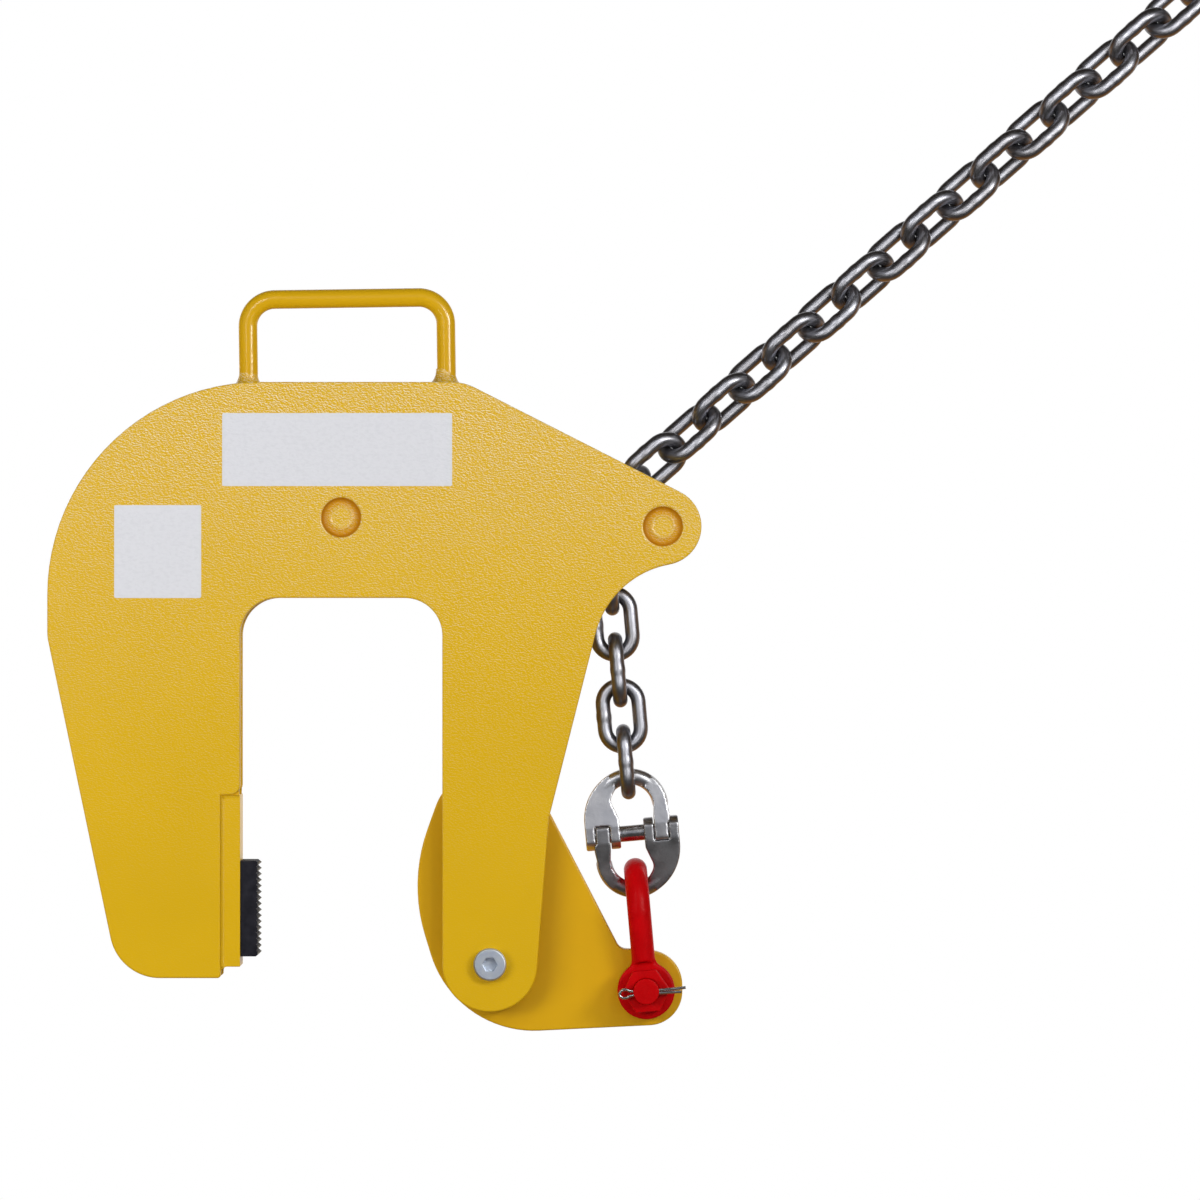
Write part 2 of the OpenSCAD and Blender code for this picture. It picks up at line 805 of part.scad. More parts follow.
// Room for the other half's lug or prong, round like its end
module lug_room(x0, x1) {
    translate([x0, 0, 0])
        rotate([0, 90, 0])
            cylinder(h = x1 - x0, r = slot_top);
    translate([x0, -slot_top, -slot_top - 1])
        cube([x1 - x0, 2 * slot_top, slot_top + 1]);
}

// The upper half, with the load pin on the X axis
module coupling_half() {
    difference() {
        union() {
            translate([0, 0, bow_z])
                rotate([90, 0, 0])
                    rotate_extrude(angle = 180)
                        translate([bow_mid_r, 0])
                            circle(d = coupling_wire);
            intersection() {
                slab(-lug_t, lug_t) {
                    polygon(rounded([[-fork_out, -lug_r, 1.5], [-fork_in, -lug_r, 1.5],
                                     [-fork_in, slot_top, 6],
                                     [-bow_in_r * 0.87, bow_z + 7.5, 9],
                                     each sharp([shoulder_inner, shoulder_join]),
                                     [-fork_out, shoulder_top, bow_out_r * 1.33]]));
                    polygon(concat([[lug_in, -lug_r], [lug_out + lug_gap, -lug_r],
                                    [fork_out - fork_wall * 0.8, slot_top]],
                                   arc(bow_at, bow_out_r - bow_edge, 0, 50),
                                   arc(bow_at, bow_in_r + bow_edge, 50, 0),
                                   [[lug_in, slot_top]]));
                }
                half_profile();
            }
        }
        lug_room(-slot_out, -slot_in);
        lug_room(lug_out, fork_out + 1);
        lug_room(0, lug_in);
        rotate([0, 90, 0])
            cylinder(h = 2 * coupling_w, r = load_pin_d / 2 + running, center = true);
    }
}

module load_pin() {
    rotate([0, 90, 0])
        cylinder(h = 2 * fork_out - 1, d = load_pin_d, center = true);
}

module at_coupling() {
    on_line(shackle_pin, hang_angle, coupling_at + half_len)
        children();
}

module coupling_upper_half() {
    color(forged_steel)
        at_coupling()
            coupling_half();
}

module coupling_lower_half() {
    color(forged_steel)
        at_coupling()
            rotate([0, 180, 0])
                coupling_half();
}

module coupling_pin() {
    color(forged_steel)
        at_coupling()
            load_pin();
}

// End coupling and master link, past the last link of the upper chain
module at_end_coupling() {
    on_line(pull_from, pull_angle, end_coupling_at + half_len, upper_roll(upper_links) - 90)
        children();
}

module end_coupling_lower_half() {
    color(forged_steel)
        at_end_coupling()
            rotate([0, 180, 0])
                coupling_half();
}

module end_coupling_upper_half() {
    color(forged_steel)
        at_end_coupling()
            coupling_half();
}

module end_coupling_pin() {
    color(forged_steel)
        at_end_coupling()
            load_pin();
}

module master_link() {
    color(forged_steel)
        on_line(pull_from, pull_angle, end_coupling_at + coupling_len + master_inside / 2 - seat,
                upper_roll(upper_links))
            oval_link(master_wire, master_inside, master_inside_w);
}

side_plate_front();
side_plate_rear();
handle_bridge();
carry_handle();
centre_tie();
nose_pin();
guide_roller();
backing_bar();
grip_pad();
pad_screws();
cam_lever();
cam_bushing();
pivot_spacers();
pivot_bolt();
pivot_washer();
pivot_nut();
shackle_bow();
shackle_bolt();
shackle_nut();
shackle_cotter();
coupling_upper_half();
coupling_lower_half();
coupling_pin();
end_coupling_lower_half();
end_coupling_upper_half();
end_coupling_pin();
master_link();
hanging_link(1);  // hanging_link_1
hanging_link(2);  // hanging_link_2
hanging_link(3);  // hanging_link_3
hanging_link(4);  // hanging_link_4
hanging_link(5);  // hanging_link_5
hanging_link(6);  // hanging_link_6
upper_link(1);  // upper_link_01
upper_link(2);  // upper_link_02
upper_link(3);  // upper_link_03
upper_link(4);  // upper_link_04
upper_link(5);  // upper_link_05
upper_link(6);  // upper_link_06
upper_link(7);  // upper_link_07
upper_link(8);  // upper_link_08
upper_link(9);  // upper_link_09
upper_link(10);  // upper_link_10
upper_link(11);  // upper_link_11
upper_link(12);  // upper_link_12
upper_link(13);  // upper_link_13
upper_link(14);  // upper_link_14
upper_link(15);  // upper_link_15
upper_link(16);  // upper_link_16
upper_link(17);  // upper_link_17
upper_link(18);  // upper_link_18
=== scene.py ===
import bpy
import bmesh
import json
from math import cos, pi, radians, sin, sqrt
from mathutils import Matrix, Vector, noise

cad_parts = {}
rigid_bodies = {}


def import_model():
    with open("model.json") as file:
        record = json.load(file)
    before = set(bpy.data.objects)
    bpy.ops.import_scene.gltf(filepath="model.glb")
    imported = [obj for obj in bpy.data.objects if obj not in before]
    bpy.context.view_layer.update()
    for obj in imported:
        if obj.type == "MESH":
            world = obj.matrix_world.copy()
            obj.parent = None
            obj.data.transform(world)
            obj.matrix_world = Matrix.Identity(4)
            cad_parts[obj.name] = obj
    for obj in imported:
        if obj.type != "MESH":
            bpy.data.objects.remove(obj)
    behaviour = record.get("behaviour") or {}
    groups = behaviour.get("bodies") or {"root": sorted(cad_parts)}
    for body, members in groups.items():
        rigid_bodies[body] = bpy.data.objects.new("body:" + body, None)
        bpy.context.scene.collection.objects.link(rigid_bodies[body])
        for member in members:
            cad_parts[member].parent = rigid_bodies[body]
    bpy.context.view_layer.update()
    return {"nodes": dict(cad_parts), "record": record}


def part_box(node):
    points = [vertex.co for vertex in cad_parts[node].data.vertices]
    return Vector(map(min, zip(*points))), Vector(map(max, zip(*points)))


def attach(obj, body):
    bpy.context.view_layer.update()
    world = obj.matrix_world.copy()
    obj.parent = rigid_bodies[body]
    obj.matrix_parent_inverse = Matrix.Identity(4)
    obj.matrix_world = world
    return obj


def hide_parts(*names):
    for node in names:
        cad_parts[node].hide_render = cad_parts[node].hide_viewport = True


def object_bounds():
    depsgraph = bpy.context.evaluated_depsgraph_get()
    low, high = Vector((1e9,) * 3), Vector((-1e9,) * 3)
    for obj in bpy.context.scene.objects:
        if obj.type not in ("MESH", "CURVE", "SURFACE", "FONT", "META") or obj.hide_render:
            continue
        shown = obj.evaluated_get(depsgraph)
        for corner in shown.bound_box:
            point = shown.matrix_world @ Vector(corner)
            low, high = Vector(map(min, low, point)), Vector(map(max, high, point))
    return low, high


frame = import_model()

# Side plates: two matching profiles, flame-cut from thick plate. Their edges
# are broken by hand and the whole welded frame is powder-coated yellow, which
# bakes to a pebbled, slightly glossy skin.


def new_material(name, color, roughness, metallic=0.0):
    """A material whose plain color and roughness the nodes added later vary."""
    mat = bpy.data.materials.new(name)
    mat.use_nodes = True
    nt = mat.node_tree
    shader = nt.nodes["Principled BSDF"]
    shader.inputs["Base Color"].default_value = (*color, 1)
    shader.inputs["Roughness"].default_value = roughness
    shader.inputs["Metallic"].default_value = metallic
    return mat, nt, shader


def feed(nt, socket, value):
    """Sets a socket to a number or a color, or links it to a node's output."""
    if isinstance(value, tuple):
        socket.default_value = (*value, 1)
    elif isinstance(value, float):
        socket.default_value = value
    else:
        nt.links.new(value, socket)


def place(nt, stretch=(1, 1, 1), shift=(0, 0, 0)):
    """The point on the piece, in metres, moved and stretched for a texture."""
    at = nt.nodes.new("ShaderNodeTexCoord").outputs["Object"]
    if stretch == (1, 1, 1):
        return at
    m = nt.nodes.new("ShaderNodeMapping")
    m.inputs["Location"].default_value = shift
    m.inputs["Scale"].default_value = stretch
    nt.links.new(at, m.inputs["Vector"])
    return m.outputs["Vector"]


def grain(nt, scale, detail=2.0, rough=0.5, warp=0.0, stretch=(1, 1, 1), shift=(0, 0, 0)):
    """Cloudy noise from 0 to 1; a larger scale makes smaller clouds."""
    n = nt.nodes.new("ShaderNodeTexNoise")
    n.inputs["Scale"].default_value = scale
    n.inputs["Detail"].default_value = detail
    n.inputs["Roughness"].default_value = rough
    n.inputs["Distortion"].default_value = warp
    nt.links.new(place(nt, stretch, shift), n.inputs["Vector"])
    return n.outputs["Fac"]


def ramp(nt, fac, stops):
    """The color or grey that the stops, as (position, value), give at fac."""
    r = nt.nodes.new("ShaderNodeValToRGB")
    knots = r.color_ramp.elements
    while len(knots) < len(stops):
        knots.new(0.5)
    for knot, (at, value) in zip(knots, stops):
        knot.position = at
        knot.color = (value, value, value, 1) if isinstance(value, float) else (*value, 1)
    nt.links.new(fac, r.inputs["Fac"])
    return r.outputs["Color"]


def mix(nt, fac, a, b, how="MIX"):
    """Color a where fac is 0, going over to b where it is 1."""
    m = nt.nodes.new("ShaderNodeMix")
    m.data_type = "RGBA"
    m.blend_type = how
    fac_in, a_in, b_in, color_out = m.inputs[0], m.inputs[6], m.inputs[7], m.outputs[2]
    for socket, value in ((fac_in, fac), (a_in, a), (b_in, b)):
        feed(nt, socket, value)
    return color_out


def calc(nt, how, a, b):
    m = nt.nodes.new("ShaderNodeMath")
    m.operation = how
    feed(nt, m.inputs[0], a)
    feed(nt, m.inputs[1], b)
    return m.outputs[0]


def bump(nt, shader, height, strength, depth, skin="Normal"):
    """Relief of a depth in metres, laid over any that the skin already has."""
    b = nt.nodes.new("ShaderNodeBump")
    b.inputs["Strength"].default_value = strength
    b.inputs["Distance"].default_value = depth
    nt.links.new(height, b.inputs["Height"])
    if shader.inputs[skin].links:
        nt.links.new(shader.inputs[skin].links[0].from_socket, b.inputs["Normal"])
    nt.links.new(b.outputs["Normal"], shader.inputs[skin])
    return b


def powder_coat(name, color, pebble, slope, gloss, shine=0.4, painted_glints=0.0, fade=False):
    """Paint baked from powder, in a pebbled skin.

    pebble sets how fine the lumps are and slope how steep, gloss and shine
    the roughness and weight of the clear skin, painted_glints how strongly
    each lump carries a painted highlight on its side towards the upper right
    and painted shade on its far side. With fade the lumps, and the painted
    highlights and shade on them, die away towards the frame's foot.
    """
    mat, nt, shader = new_material(name, color, 0.45)
    shader.inputs["Specular IOR Level"].default_value = 0.12
    shader.inputs["Coat Weight"].default_value = shine
    shader.inputs["Coat IOR"].default_value = 1.9
    shader.inputs["Coat Roughness"].default_value = gloss
    lump_form = (pebble, 2, 0.5, 0.7, (1, 1, 1.6))
    to_the_light = (0.00027, 0, 0.0007)
    paint_slope = 0.3 * slope
    lumps = grain(nt, *lump_form)
    crowns = ramp(nt, lumps, [(0.38, 0.0), (0.66, 1.0)])
    under = bump(nt, shader, lumps, paint_slope, 0.0005)
    skin = bump(nt, shader, crowns, slope, 0.0004, "Coat Normal")
    deeper = tuple(c * 0.965 for c in color)
    paint = ramp(nt, grain(nt, 9, 3), [(0.35, deeper), (0.65, color)])
    full = 1.0
    if fade:
        height = nt.nodes.new("ShaderNodeSeparateXYZ")
        nt.links.new(place(nt), height.inputs[0])
        above = calc(nt, "ADD", height.outputs["Z"], 0.5)
        full = ramp(nt, above, [(0.24, 0.03), (0.38, 0.16), (0.52, 0.42), (0.66, 1.0)])
        feed(nt, under.inputs["Strength"], calc(nt, "MULTIPLY", full, paint_slope))
        feed(nt, skin.inputs["Strength"], calc(nt, "MULTIPLY", full, slope))
    # Painted highlight on the side of each lump towards the upper right, painted shade on its far
    # side.
    if painted_glints:
        lifted = grain(nt, *lump_form, to_the_light)
        flank = calc(nt, "ADD", calc(nt, "SUBTRACT", lumps, lifted), 0.5)
        painted_lee_shade = tuple(c * k for c, k in zip(color, (0.90, 0.80, 0.5)))
        pale = (0.88, 0.82, 0.58)
        painted_light_and_shade = ramp(nt, flank, [(0.38, painted_lee_shade), (0.47, color), (0.54, color), (0.63, pale)])
        paint = mix(nt, calc(nt, "MULTIPLY", full, painted_glints), paint, painted_light_and_shade)
    feed(nt, shader.inputs["Base Color"], paint)
    return mat


# The frame's coat carries painted highlights and painted shade on its lumps, fading out towards the
# foot.
yellow = powder_coat("yellow_powder_coat", (0.74, 0.448, 0.0012), 490, 0.9, 0.16, 0.34, 1.0, True)


def add_piece(name, mesh, mat, body):
    """A new object of the scene that rides on a body of the frame."""
    obj = bpy.data.objects.new(name, mesh)
    bpy.context.scene.collection.objects.link(obj)
    obj.data.materials.clear()
    obj.data.materials.append(mat)
    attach(obj, body)
    return obj


def body_of(node):
    """The body of the frame that the node belongs to."""
    bodies = frame["record"]["behaviour"]["bodies"]
    return next(b for b, nodes in bodies.items() if node in nodes)


def soften(mesh, angle=None):
    """Smooth shading, but for edges sharper than the angle in degrees."""
    for p in mesh.polygons:
        p.use_smooth = True
    if angle:
        mesh.set_sharp_from_angle(angle=radians(angle))


def stand_in(obj, node):
    """Makes the modifiers' result the object's own mesh, in the node's place."""
    graph = bpy.context.evaluated_depsgraph_get()
    done = bpy.data.meshes.new_from_object(obj.evaluated_get(graph))
    obj.modifiers.clear()
    obj.data = done
    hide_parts(node)


def eased(node, name, mat, width, segments=3):
    """The node's own solid with its sharp edges eased by a small round."""
    same_point, same_plane, sharp = 2e-6, radians(0.6), radians(32)
    mesh = frame["nodes"][node].data.copy()
    mesh.name = name
    bm = bmesh.new()
    bm.from_mesh(mesh)
    bmesh.ops.remove_doubles(bm, verts=bm.verts, dist=same_point)
    bmesh.ops.dissolve_limit(bm, angle_limit=same_plane, verts=bm.verts, edges=bm.edges)
    bm.to_mesh(mesh)
    bm.free()
    soften(mesh)
    obj = add_piece(name, mesh, mat, body_of(node))
    edge = obj.modifiers.new("edge", "BEVEL")
    edge.width = width
    edge.segments = segments
    edge.limit_method = "ANGLE"
    edge.use_clamp_overlap = False
    edge.angle_limit = sharp
    flat = obj.modifiers.new("flat", "WEIGHTED_NORMAL")
    flat.weight = 90
    stand_in(obj, node)


for side in ("front", "rear"):
    eased("side_plate_" + side, "plate_" + side, yellow, 0.0017, 4)

# Bridge bar, centre tie and nose pin: cut from bar, set between the plates
# and welded before painting. The backing bar is let into the plain leg.
for node in ("handle_bridge", "centre_tie", "nose_pin", "backing_bar"):
    eased(node, node + "_painted", yellow, 0.0008)

# Seam weld: the backing bar stands a little below the plate faces. On both
# faces a small hollow fillet of weld runs up the bar's outer edge, along its
# top and into the round of the plate's corner.
plate_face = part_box("side_plate_front")[0][1]
bar_low, bar_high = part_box("backing_bar")
bar_edge, bar_foot, bar_top = bar_low[0], bar_low[2], bar_high[2]
top_run = 0.0079
corner_r = 0.0085


def join_rows(bm, rows, closed):
    """Faces between each row of points and the next; closed rows are rings."""
    for a, b in zip(rows, rows[1:]):
        for k in range(len(a) if closed else len(a) - 1):
            n = (k + 1) % len(a)
            bm.faces.new((a[k], a[n], b[n], b[k]))


def mesh_from(bm, name):
    """Turns the faces drawn so far into a mesh with this name."""
    mesh = bpy.data.meshes.new(name)
    bm.to_mesh(mesh)
    bm.free()
    return mesh


def seam_weld(name, side):
    """The fillet on one face: rows of points across it, along its path."""
    leg, wander, ripple = 0.0042, 0.12, 400
    root, below_face, into_bar = 0.006, 0.0005, 0.0001
    start_run, start_steps, edge_steps, top_steps, corner_steps = 0.004, 3, 24, 4, 5
    round_steps = 6
    shelf = bar_high[1] - into_bar
    face = -plate_face - below_face
    rise = bar_top - bar_foot
    path = [((bar_edge, bar_foot + start_run * k / start_steps), (1, 0))
            for k in range(start_steps)]
    path += [((bar_edge, bar_foot + rise * k / edge_steps), (1, 0)) for k in range(1, edge_steps)]
    path += [((bar_edge, bar_top), (0.7, -0.7))]
    path += [((bar_edge + top_run * k / top_steps, bar_top), (0, -1))
             for k in range(1, top_steps + 1)]
    path += [((bar_edge + top_run + corner_r * k / corner_steps, bar_top), (0, -1))
             for k in range(1, corner_steps)]
    bm = bmesh.new()
    rows = []
    for (x, z), (nx, nz) in path:
        reach = leg * (1 + wander * noise.noise(Vector((x * ripple, side, z * ripple))))
        row = [bm.verts.new((x, side * (face - root), z))]
        for k in range(round_steps + 1):
            a = pi / 2 * k / round_steps
            out = reach * (1 - cos(a))
            y = side * (face - (face - shelf) * sin(a))
            row.append(bm.verts.new((x + nx * out, y, z + nz * out)))
        rows.append(row)
    join_rows(bm, rows, False)
    bmesh.ops.recalc_face_normals(bm, faces=bm.faces)
    mesh = mesh_from(bm, name)
    soften(mesh)
    add_piece(name, mesh, yellow, "clamp_frame")


seam_weld("seam_weld_front", -1)
seam_weld("seam_weld_rear", 1)

# Corner welds: the two corners left between each plate and the bar, one
# above the bar and one below it, are filled with weld and dressed flat.


def slab(name, outline, y0, y1, mat):
    """A flat piece on the frame: an outline in X and Z, from y0 to y1."""
    bm = bmesh.new()
    near = [bm.verts.new((x, y0, z)) for x, z in outline]
    far = [bm.verts.new((x, y1, z)) for x, z in outline]
    bm.faces.new(near)
    bm.faces.new(far[::-1])
    for k in range(len(outline)):
        n = (k + 1) % len(outline)
        bm.faces.new((near[k], far[k], far[n], near[n]))
    bmesh.ops.recalc_face_normals(bm, faces=bm.faces)
    add_piece(name, mesh_from(bm, name), mat, "clamp_frame")


foot_r, foot_run = 0.0054, 0.0056
overlap, below_bar, inside = 0.0004, 0.0003, 0.0245
arc_x = bar_edge + top_run
upper = [(arc_x + corner_r * sin(a), bar_top + corner_r * (1 - cos(a)))
         for a in map(radians, range(0, 66, 5))]
upper += [(upper[-1][0], bar_top)]
lower = [(bar_edge - overlap, bar_foot + overlap), (bar_edge + foot_run, bar_foot + overlap)]
lower += [(bar_edge + foot_r * (1 - sin(a)), bar_foot - foot_r * (1 - cos(a)))
          for a in map(radians, range(0, 91, 9))]
lower += [(bar_edge - overlap, bar_foot - foot_r)]
for side, y0, y1 in (("front", bar_low[1] + below_bar, -inside),
                     ("rear", inside, bar_high[1] - below_bar)):
    slab("upper_fill_" + side, upper, y0, y1, yellow)
    slab("lower_fill_" + side, lower, y0, y1, yellow)

# Plug welds: the cross members are welded in from outside, inside a recess
# in each plate. The weld runs up the wall in a hollow round and leaves a
# cratered crown in the middle. Its colour darkens towards the recess wall as
# painted shade, and its lumps carry painted highlights and painted shade.
weld_paint = powder_coat("weld_under_paint", (0.73, 0.43, 0.0008), 520, 0.35, 0.16, 0.4, 0.7)
nt = weld_paint.node_tree
shader = nt.nodes["Principled BSDF"]
depth_of = nt.nodes.new("ShaderNodeAttribute")
depth_of.attribute_name = "deep"
unshaded_paint = shader.inputs["Base Color"].links[0].from_socket
# Painted shade for the recess: the colour deep down, darkest at the wall.
painted_recess_shade = (0.50, 0.185, 0.0003)
feed(nt, shader.inputs["Base Color"], mix(nt, depth_of.outputs["Fac"], unshaded_paint, painted_recess_shade))
feed(nt, shader.inputs["Coat Weight"],
     ramp(nt, depth_of.outputs["Fac"], [(0.02, 1.0), (0.14, 0.6), (0.45, 0.05)]))


def plug_weld(name, node, side):
    """The weld in one recess; its radii and depths are in millimetres."""
    profile = [(19.0, -0.01), (18.5, -0.06), (18.0, 0.02), (17.6, 0.16), (17.2, 0.36),
               (16.95, 0.62), (16.8, 1.1), (16.5, 2.0), (15.8, 3.1), (14.9, 4.0), (13.8, 4.65),
               (12.8, 4.9), (11.9, 4.75), (11.1, 4.3), (10.5, 3.85), (9.9, 3.6), (9.3, 3.55),
               (8.7, 3.72), (8.0, 3.98), (7.3, 4.12), (6.4, 4.1), (5.6, 3.98), (4.8, 4.1),
               (3.9, 4.18), (2.4, 4.1), (1.0, 4.14)]
    around = 120
    ripple, own_place = 0.55, 90
    inner_r, inner_rough, outer_rough = 12, 0.12, 0.10
    groove_in, groove_out, groove_tilt, groove_turn = 8, 13, 0.22, 3.9
    wall_r, crown_r, least, most, per_mm = 16.9, 9.6, 0.12, 0.95, 0.14
    low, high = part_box(node)
    x, z = (low[0] + high[0]) / 2, (low[2] + high[2]) / 2
    bm = bmesh.new()
    rows = []
    for r, depth in profile:
        row = []
        for k in range(around):
            a = 2 * pi * k / around
            p = Vector((r * cos(a), r * sin(a), 0))
            rough = noise.noise(p * ripple + Vector((x, z, side)) * own_place)
            rough *= inner_rough if r < inner_r else outer_rough
            lean = groove_tilt * cos(a - groove_turn) if groove_in < r < groove_out else 0.0
            d = (depth + rough - lean) / 1000
            row.append(bm.verts.new((x + p.x / 1000, side * (-plate_face - d), z + p.y / 1000)))
        rows.append(row)
    join_rows(bm, rows, True)
    bm.faces.new(rows[-1])
    bmesh.ops.recalc_face_normals(bm, faces=bm.faces)
    if sum(f.normal.y for f in bm.faces) * side < 0:
        bmesh.ops.reverse_faces(bm, faces=bm.faces)
    mesh = mesh_from(bm, name)
    soften(mesh)
    # deep sets how much painted shade lies on each point, rising towards the wall.
    deep = mesh.attributes.new("deep", "FLOAT", "POINT")
    for v in mesh.vertices:
        r = 1000 * sqrt((v.co.x - x) ** 2 + (v.co.z - z) ** 2)
        painted_shade = min(most, max(least, least + per_mm * (r - crown_r)))
        deep.data[v.index].value = 0.0 if r > wall_r else painted_shade
    add_piece(name, mesh, weld_paint, "clamp_frame")


for node in ("nose_pin", "centre_tie"):
    plug_weld("weld_%s_front" % node, node, -1)
    plug_weld("weld_%s_rear" % node, node, 1)

# Carrying handle: round bar bent cold and welded to the bridge bar, with a
# hollow fillet of weld round each foot.
smooth_yellow = powder_coat("yellow_smooth_coat", (0.70, 0.40, 0.0012), 120, 0.12, 0.16, 0.5)
eased("carry_handle", "carry_handle_painted", smooth_yellow, 0.0003)
low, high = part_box("carry_handle")
rod_r = (high[1] - low[1]) / 2
bridge_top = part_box("handle_bridge")[1][2]


def foot_weld(name, x, flare, height):
    """A hollow round of weld about the foot at x, flared out on the bridge."""
    around, up, uneven = 40, 8, 0.05
    bm = bmesh.new()
    rows = []
    for i in range(up + 1):
        t = i / up
        r = rod_r + flare * (1 - sqrt(max(0.0, 1 - (1 - t) ** 2)))
        z = bridge_top + height * t
        row = []
        for k in range(around):
            a = 2 * pi * k / around
            spot = Vector((cos(a) * 3, sin(a) * 3, t * 2 + x * 40))
            lump = 1 + uneven * noise.noise(spot)
            row.append(bm.verts.new((x + r * lump * cos(a), r * lump * sin(a), z)))
        rows.append(row)
    join_rows(bm, rows, True)
    mesh = mesh_from(bm, name)
    soften(mesh)
    add_piece(name, mesh, weld_paint, "clamp_frame")


foot_weld("weld_handle_left", low[0] + rod_r + 0.0004, 0.0058, 0.0105)
foot_weld("weld_handle_right", high[0] - rod_r - 0.0011, 0.0085, 0.0140)

# Guide roller: turned from bar, running on the nose pin, with a roughness
# that varies over it and fine marks from turning.


def vary(nt, socket, scale, detail, stops):
    """Lets a socket wander over the piece between the stops of a ramp."""
    nt.links.new(ramp(nt, grain(nt, scale, detail), stops), socket)


turned, nt, shader = new_material("turned_steel", (0.42, 0.42, 0.43), 0.34, 1.0)
vary(nt, shader.inputs["Roughness"], 45, 3, [(0.3, 0.26), (0.7, 0.44)])
bump(nt, shader, grain(nt, 90, 2, 0.5, 0.0, (1, 12, 1)), 0.25, 0.0003)
eased("guide_roller", "guide_roller_turned", turned, 0.0005)

# Grip pad: a hardened block with milled teeth, blackened in oil. The tips
# of the teeth are rubbed back to bare steel.
black, nt, shader = new_material("blackened_steel", (0.013, 0.013, 0.019), 0.6)
shader.inputs["Specular IOR Level"].default_value = 0.15
across = nt.nodes.new("ShaderNodeSeparateXYZ")
nt.links.new(place(nt), across.inputs[0])
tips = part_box("grip_pad")[1][0]
rub = nt.nodes.new("ShaderNodeMapRange")
rub.inputs["From Min"].default_value = tips - 0.0019
rub.inputs["From Max"].default_value = tips - 0.0003
nt.links.new(across.outputs["X"], rub.inputs["Value"])
patchy = ramp(nt, grain(nt, 500, 3), [(0.35, 0.35), (0.6, 1.0)])
worn = mix(nt, 1.0, rub.outputs[0], patchy, "MULTIPLY")
oiled = ramp(nt, grain(nt, 130, 3), [(0.3, (0.010, 0.010, 0.015)), (0.75, (0.022, 0.022, 0.030))])
feed(nt, shader.inputs["Base Color"], mix(nt, worn, oiled, (0.30, 0.28, 0.23)))
bump(nt, shader, grain(nt, 650, 2), 0.2, 0.0003)
eased("grip_pad", "grip_pad_milled", black, 0.0003, 2)

# Pad screws: two steel socket screws, cold-headed and zinc-plated. They
# come through the backing bar from behind and hold the pad on.
plated, nt, shader = new_material("plated_steel", (0.47, 0.48, 0.52), 0.42, 1.0)
vary(nt, shader.inputs["Roughness"], 150, 3, [(0.3, 0.36), (0.7, 0.52)])
vary(nt, shader.inputs["Base Color"], 60, 4, [(0.3, (0.40, 0.41, 0.45)), (0.7, (0.53, 0.54, 0.58))])
bump(nt, shader, grain(nt, 500, 3), 0.15, 0.0003)
eased("pad_screws", "pad_screws_plated", plated, 0.0004, 2)

# Cam lever: one thick profile with a round gripping face, flame-cut and
# painted. It turns on a bronze bushing that is pressed into it.
cam_paint = powder_coat("yellow_cam_paint", (0.73, 0.41, 0.0006), 230, 0.10, 0.28, 0.25)
eased("cam_lever", "cam_lever_painted", cam_paint, 0.0016)
bronze, nt, shader = new_material("bearing_bronze", (0.5, 0.32, 0.14), 0.35, 1.0)
vary(nt, shader.inputs["Roughness"], 80, 3, [(0.3, 0.28), (0.7, 0.45)])
bump(nt, shader, grain(nt, 700, 2), 0.1, 0.0002)
eased("cam_bushing", "cam_bushing_bronze", bronze, 0.0004, 2)

# Pivot: a turned bolt with a flat head and a hexagon socket, with spacer
# rings beside the cam and a washer and nut behind. The head keeps the fine
# rings that the lathe left on it.


def vector_calc(nt, how, a, b=None):
    """The outputs of a sum on a vector a and, where it takes one, a fixed b."""
    m = nt.nodes.new("ShaderNodeVectorMath")
    m.operation = how
    nt.links.new(a, m.inputs[0])
    if b:
        m.inputs[1].default_value = b
    return m.outputs


head, nt, shader = new_material("turned_plated_head", (0.60, 0.61, 0.66), 0.52, 1.0)
low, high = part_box("pivot_bolt")
axis = ((low[0] + high[0]) / 2, 0, (low[2] + high[2]) / 2)
off_axis = vector_calc(nt, "SUBTRACT", place(nt), axis)[0]
in_plane = vector_calc(nt, "MULTIPLY", off_axis, (1, 0, 1))[0]
tool_marks = nt.nodes.new("ShaderNodeTexNoise")
tool_marks.noise_dimensions = "1D"
tool_marks.inputs["Scale"].default_value = 900
tool_marks.inputs["Detail"].default_value = 3
nt.links.new(vector_calc(nt, "LENGTH", in_plane)["Value"], tool_marks.inputs["W"])
bump(nt, shader, tool_marks.outputs["Fac"], 0.25, 0.0004)
vary(nt, shader.inputs["Base Color"], 220, 4, [(0.3, (0.76, 0.84, 0.97)), (0.7, (0.86, 0.93, 1.0))])
eased("pivot_bolt", "pivot_bolt_turned", head, 0.0005)
for node in ("pivot_washer", "pivot_nut", "pivot_spacers"):
    eased(node, node + "_plated", plated, 0.0005)

# Shackle: drop-forged bow, bolt and nut, painted red. The paint is thick and
# shows the scale of the forging.


def forged_skin(node, name, mat, cell, passes):
    """The node's solid as a forging: every edge and corner runs out soft."""
    mesh = frame["nodes"][node].data.copy()
    mesh.name = name
    obj = add_piece(name, mesh, mat, body_of(node))
    skin = obj.modifiers.new("skin", "REMESH")
    skin.mode = "VOXEL"
    skin.voxel_size = cell
    skin.use_smooth_shade = True
    soft = obj.modifiers.new("soft", "SMOOTH")
    soft.factor = 0.5
    soft.iterations = passes
    stand_in(obj, node)


